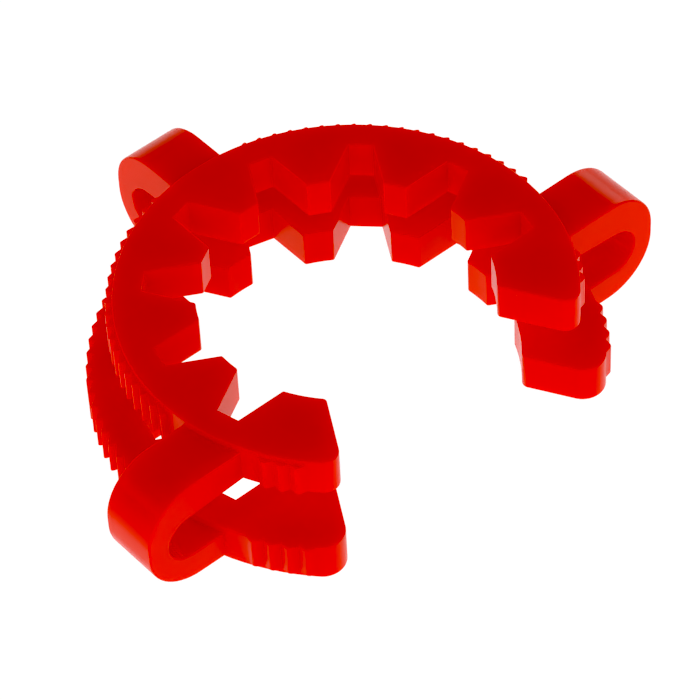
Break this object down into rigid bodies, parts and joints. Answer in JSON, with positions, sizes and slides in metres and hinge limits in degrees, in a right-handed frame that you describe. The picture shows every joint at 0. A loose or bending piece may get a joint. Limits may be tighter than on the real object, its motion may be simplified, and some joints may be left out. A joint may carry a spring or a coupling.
{
  "type": "ground glass joint clip",
  "caption": "Springy moulded clip: a small and a large toothed C ring, joined by outer straps, that hold a ground glass joint together.",
  "frame": {"origin": "on the axis of the glass joint, at the clip's underside, which is the outer face of the large ring", "axes": "+Z along the joint's axis from the large ring up to the small ring; -Y out of the clip's mouth, the way the clip is pulled off; the back strap reaches to +Y and the side straps to +X and -X; the clip is mirror-symmetric about X = 0"},
  "size_m": [0.0634, 0.0493, 0.0134],
  "materials": {
    "clip": "glossy as-moulded acetal, self-coloured red"
  },
  "bodies": {
    "root": {"clip": "clip"}
  },
  "joints": []
}
